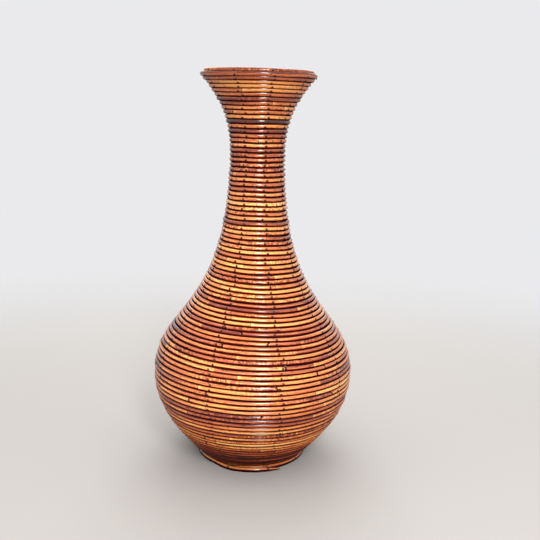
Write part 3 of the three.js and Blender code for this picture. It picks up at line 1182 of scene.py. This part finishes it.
world = bpy.data.worlds.new("pale_surround")
bpy.context.scene.world = world
world.use_nodes = True
tree = world.node_tree
lit = tree.nodes["Background"]
lit.inputs["Color"].default_value = WHITE
facing = add(tree, "SeparateXYZ", {0: add(tree, "TexCoord", {}).outputs["Generated"]}).outputs
low_light = ease(tree, facing["Z"], *LOW_SKY)
high_light = ease(tree, facing["Z"], *HIGH_SKY)
tree.links.new(sums(tree, "ADD", low_light, high_light), lit.inputs["Strength"])
seen = add(tree, "Background", {"Color": SURROUND, "Strength": 1.0})
mixed = add(tree, "MixShader", {0: seeing_rays(tree), 1: lit.outputs[0], 2: seen.outputs[0]})
tree.links.new(mixed.outputs[0], tree.nodes["World Output"].inputs["Surface"])
print("surround:", world.name)

# %% [markdown]
# ## Lamps
# A tall soft lamp in front, a little to the right, draws the upright streak of shine. A small one low
# in front lifts the lower belly, and is kept out of reflections so that it leaves no second streak. A
# wide one high behind lights the back, which is looked at as well.

# %% Lamps
LAMP_AIM = Vector((0, 0, 0.24))
Lamp = namedtuple("Lamp", "name wide high distance turn lift power spread shines")
LAMPS = (
    Lamp("window", 0.34, 1.0, 1.7, 12, 24, 22, 180, True),
    Lamp("low_fill", 0.3, 0.1, 0.45, -9, -15, 0.44, 66, False),
    Lamp("back_fill", 1.2, 1.6, 1.7, 180, 40, 16, 180, True),
)  # metres, degrees and watts

for light in LAMPS:
    lamp_data = bpy.data.lights.new(light.name, "AREA")
    lamp_data.shape = "RECTANGLE"
    lamp_data.size = light.wide
    lamp_data.size_y = light.high
    lamp_data.energy = light.power
    lamp_data.spread = math.radians(light.spread)
    lamp = bpy.data.objects.new(light.name, lamp_data)
    turn, lift = math.radians(light.turn), math.radians(light.lift)
    aside = Vector((math.sin(turn), -math.cos(turn), 0)) * math.cos(lift)
    towards_lamp = aside + Vector((0, 0, math.sin(lift)))
    lamp.location = LAMP_AIM + light.distance * towards_lamp
    lamp.rotation_mode = "QUATERNION"
    lamp.rotation_quaternion = towards_lamp.to_track_quat("Z", "Y")
    lamp.visible_camera = False
    lamp.visible_glossy = light.shines
    bpy.context.scene.collection.objects.link(lamp)
print("lamps:", ", ".join(light.name for light in LAMPS))

# %% [markdown]
# ## Camera
# The picture was taken from a little under a metre away, from just below the height of the mouth and
# looking down, with the camera turned slightly to the right and not quite level. Moving it by eye
# until it fits would take long. These few numbers came from the curve of the rings.

# %% Camera
CAMERA_DISTANCE = 0.8966
CAMERA_HEIGHT = 0.4083
CAMERA_LENS, CAMERA_SENSOR = 49.1, 36
CAMERA_DOWN = math.radians(10.95)
CAMERA_RIGHT = math.radians(1.19)
CAMERA_ROLL = math.radians(1.45)

camera_data = bpy.data.cameras.new("camera")
camera_data.lens = CAMERA_LENS
camera_data.sensor_width = CAMERA_SENSOR
camera = bpy.data.objects.new("camera", camera_data)
camera.location = (0, -CAMERA_DISTANCE, CAMERA_HEIGHT)
level = Vector((math.sin(CAMERA_RIGHT), math.cos(CAMERA_RIGHT), 0))
ahead = level * math.cos(CAMERA_DOWN) - Vector((0, 0, math.sin(CAMERA_DOWN)))
camera.rotation_mode = "QUATERNION"
camera.rotation_quaternion = ahead.to_track_quat("-Z", "Y") @ Quaternion((0, 0, 1), CAMERA_ROLL)
bpy.context.scene.collection.objects.link(camera)
bpy.context.scene.camera = camera
bpy.context.scene.view_settings.view_transform = "Standard"
print("camera looks along", [round(x, 3) for x in ahead])

# %% [markdown]
# ## Measure the size
# The finer pieces may stand only a few millimetres outside the solids, or the vase would no longer fit
# where its solids do. Both boxes are measured, and how far the top corner grew is printed.

# %% Measure the sizes and print the growth
seen_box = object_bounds()
growth = [round(MILLIMETRES * (after - before), 2) for before, after in zip(cad_box[1], seen_box[1])]
print("grew by", growth, "mm at the top corner")
